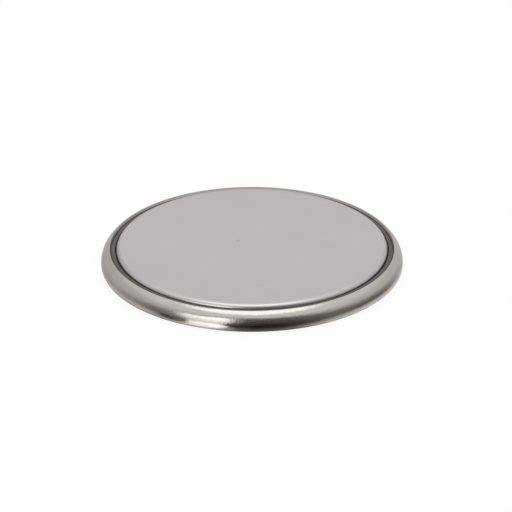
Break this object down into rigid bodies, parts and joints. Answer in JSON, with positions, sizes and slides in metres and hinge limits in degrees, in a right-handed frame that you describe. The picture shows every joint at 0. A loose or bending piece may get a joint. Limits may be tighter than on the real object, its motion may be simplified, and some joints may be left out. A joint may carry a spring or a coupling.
{
  "type": "lithium coin cell",
  "caption": "Flat round lithium coin cell: crimped steel can, stepped steel cap with a raised negative face, dark gasket ring between them and a disc-shaped electrode stack sealed inside.",
  "frame": {"origin": "centre of the flat positive face, on the surface that the cell rests on", "axes": "+Z along the cell's axis, out of the negative face; X and Y are any two directions across it"},
  "size_m": [0.02, 0.02, 0.0016],
  "materials": {
    "can_steel": "satin nickel plate",
    "cap_steel": "satin nickel plate",
    "gasket_plastic": "matte",
    "lithium_metal": "dull rolled foil",
    "separator_fleece": "non-woven",
    "cathode_mix": "pressed powder",
    "grid_steel": "plain"
  },
  "bodies": {
    "root": {"can": "can_steel", "cap": "cap_steel", "gasket": "gasket_plastic", "lithium_anode": "lithium_metal", "separator": "separator_fleece", "cathode_pellet": "cathode_mix", "collector_grid": "grid_steel"}
  },
  "joints": []
}
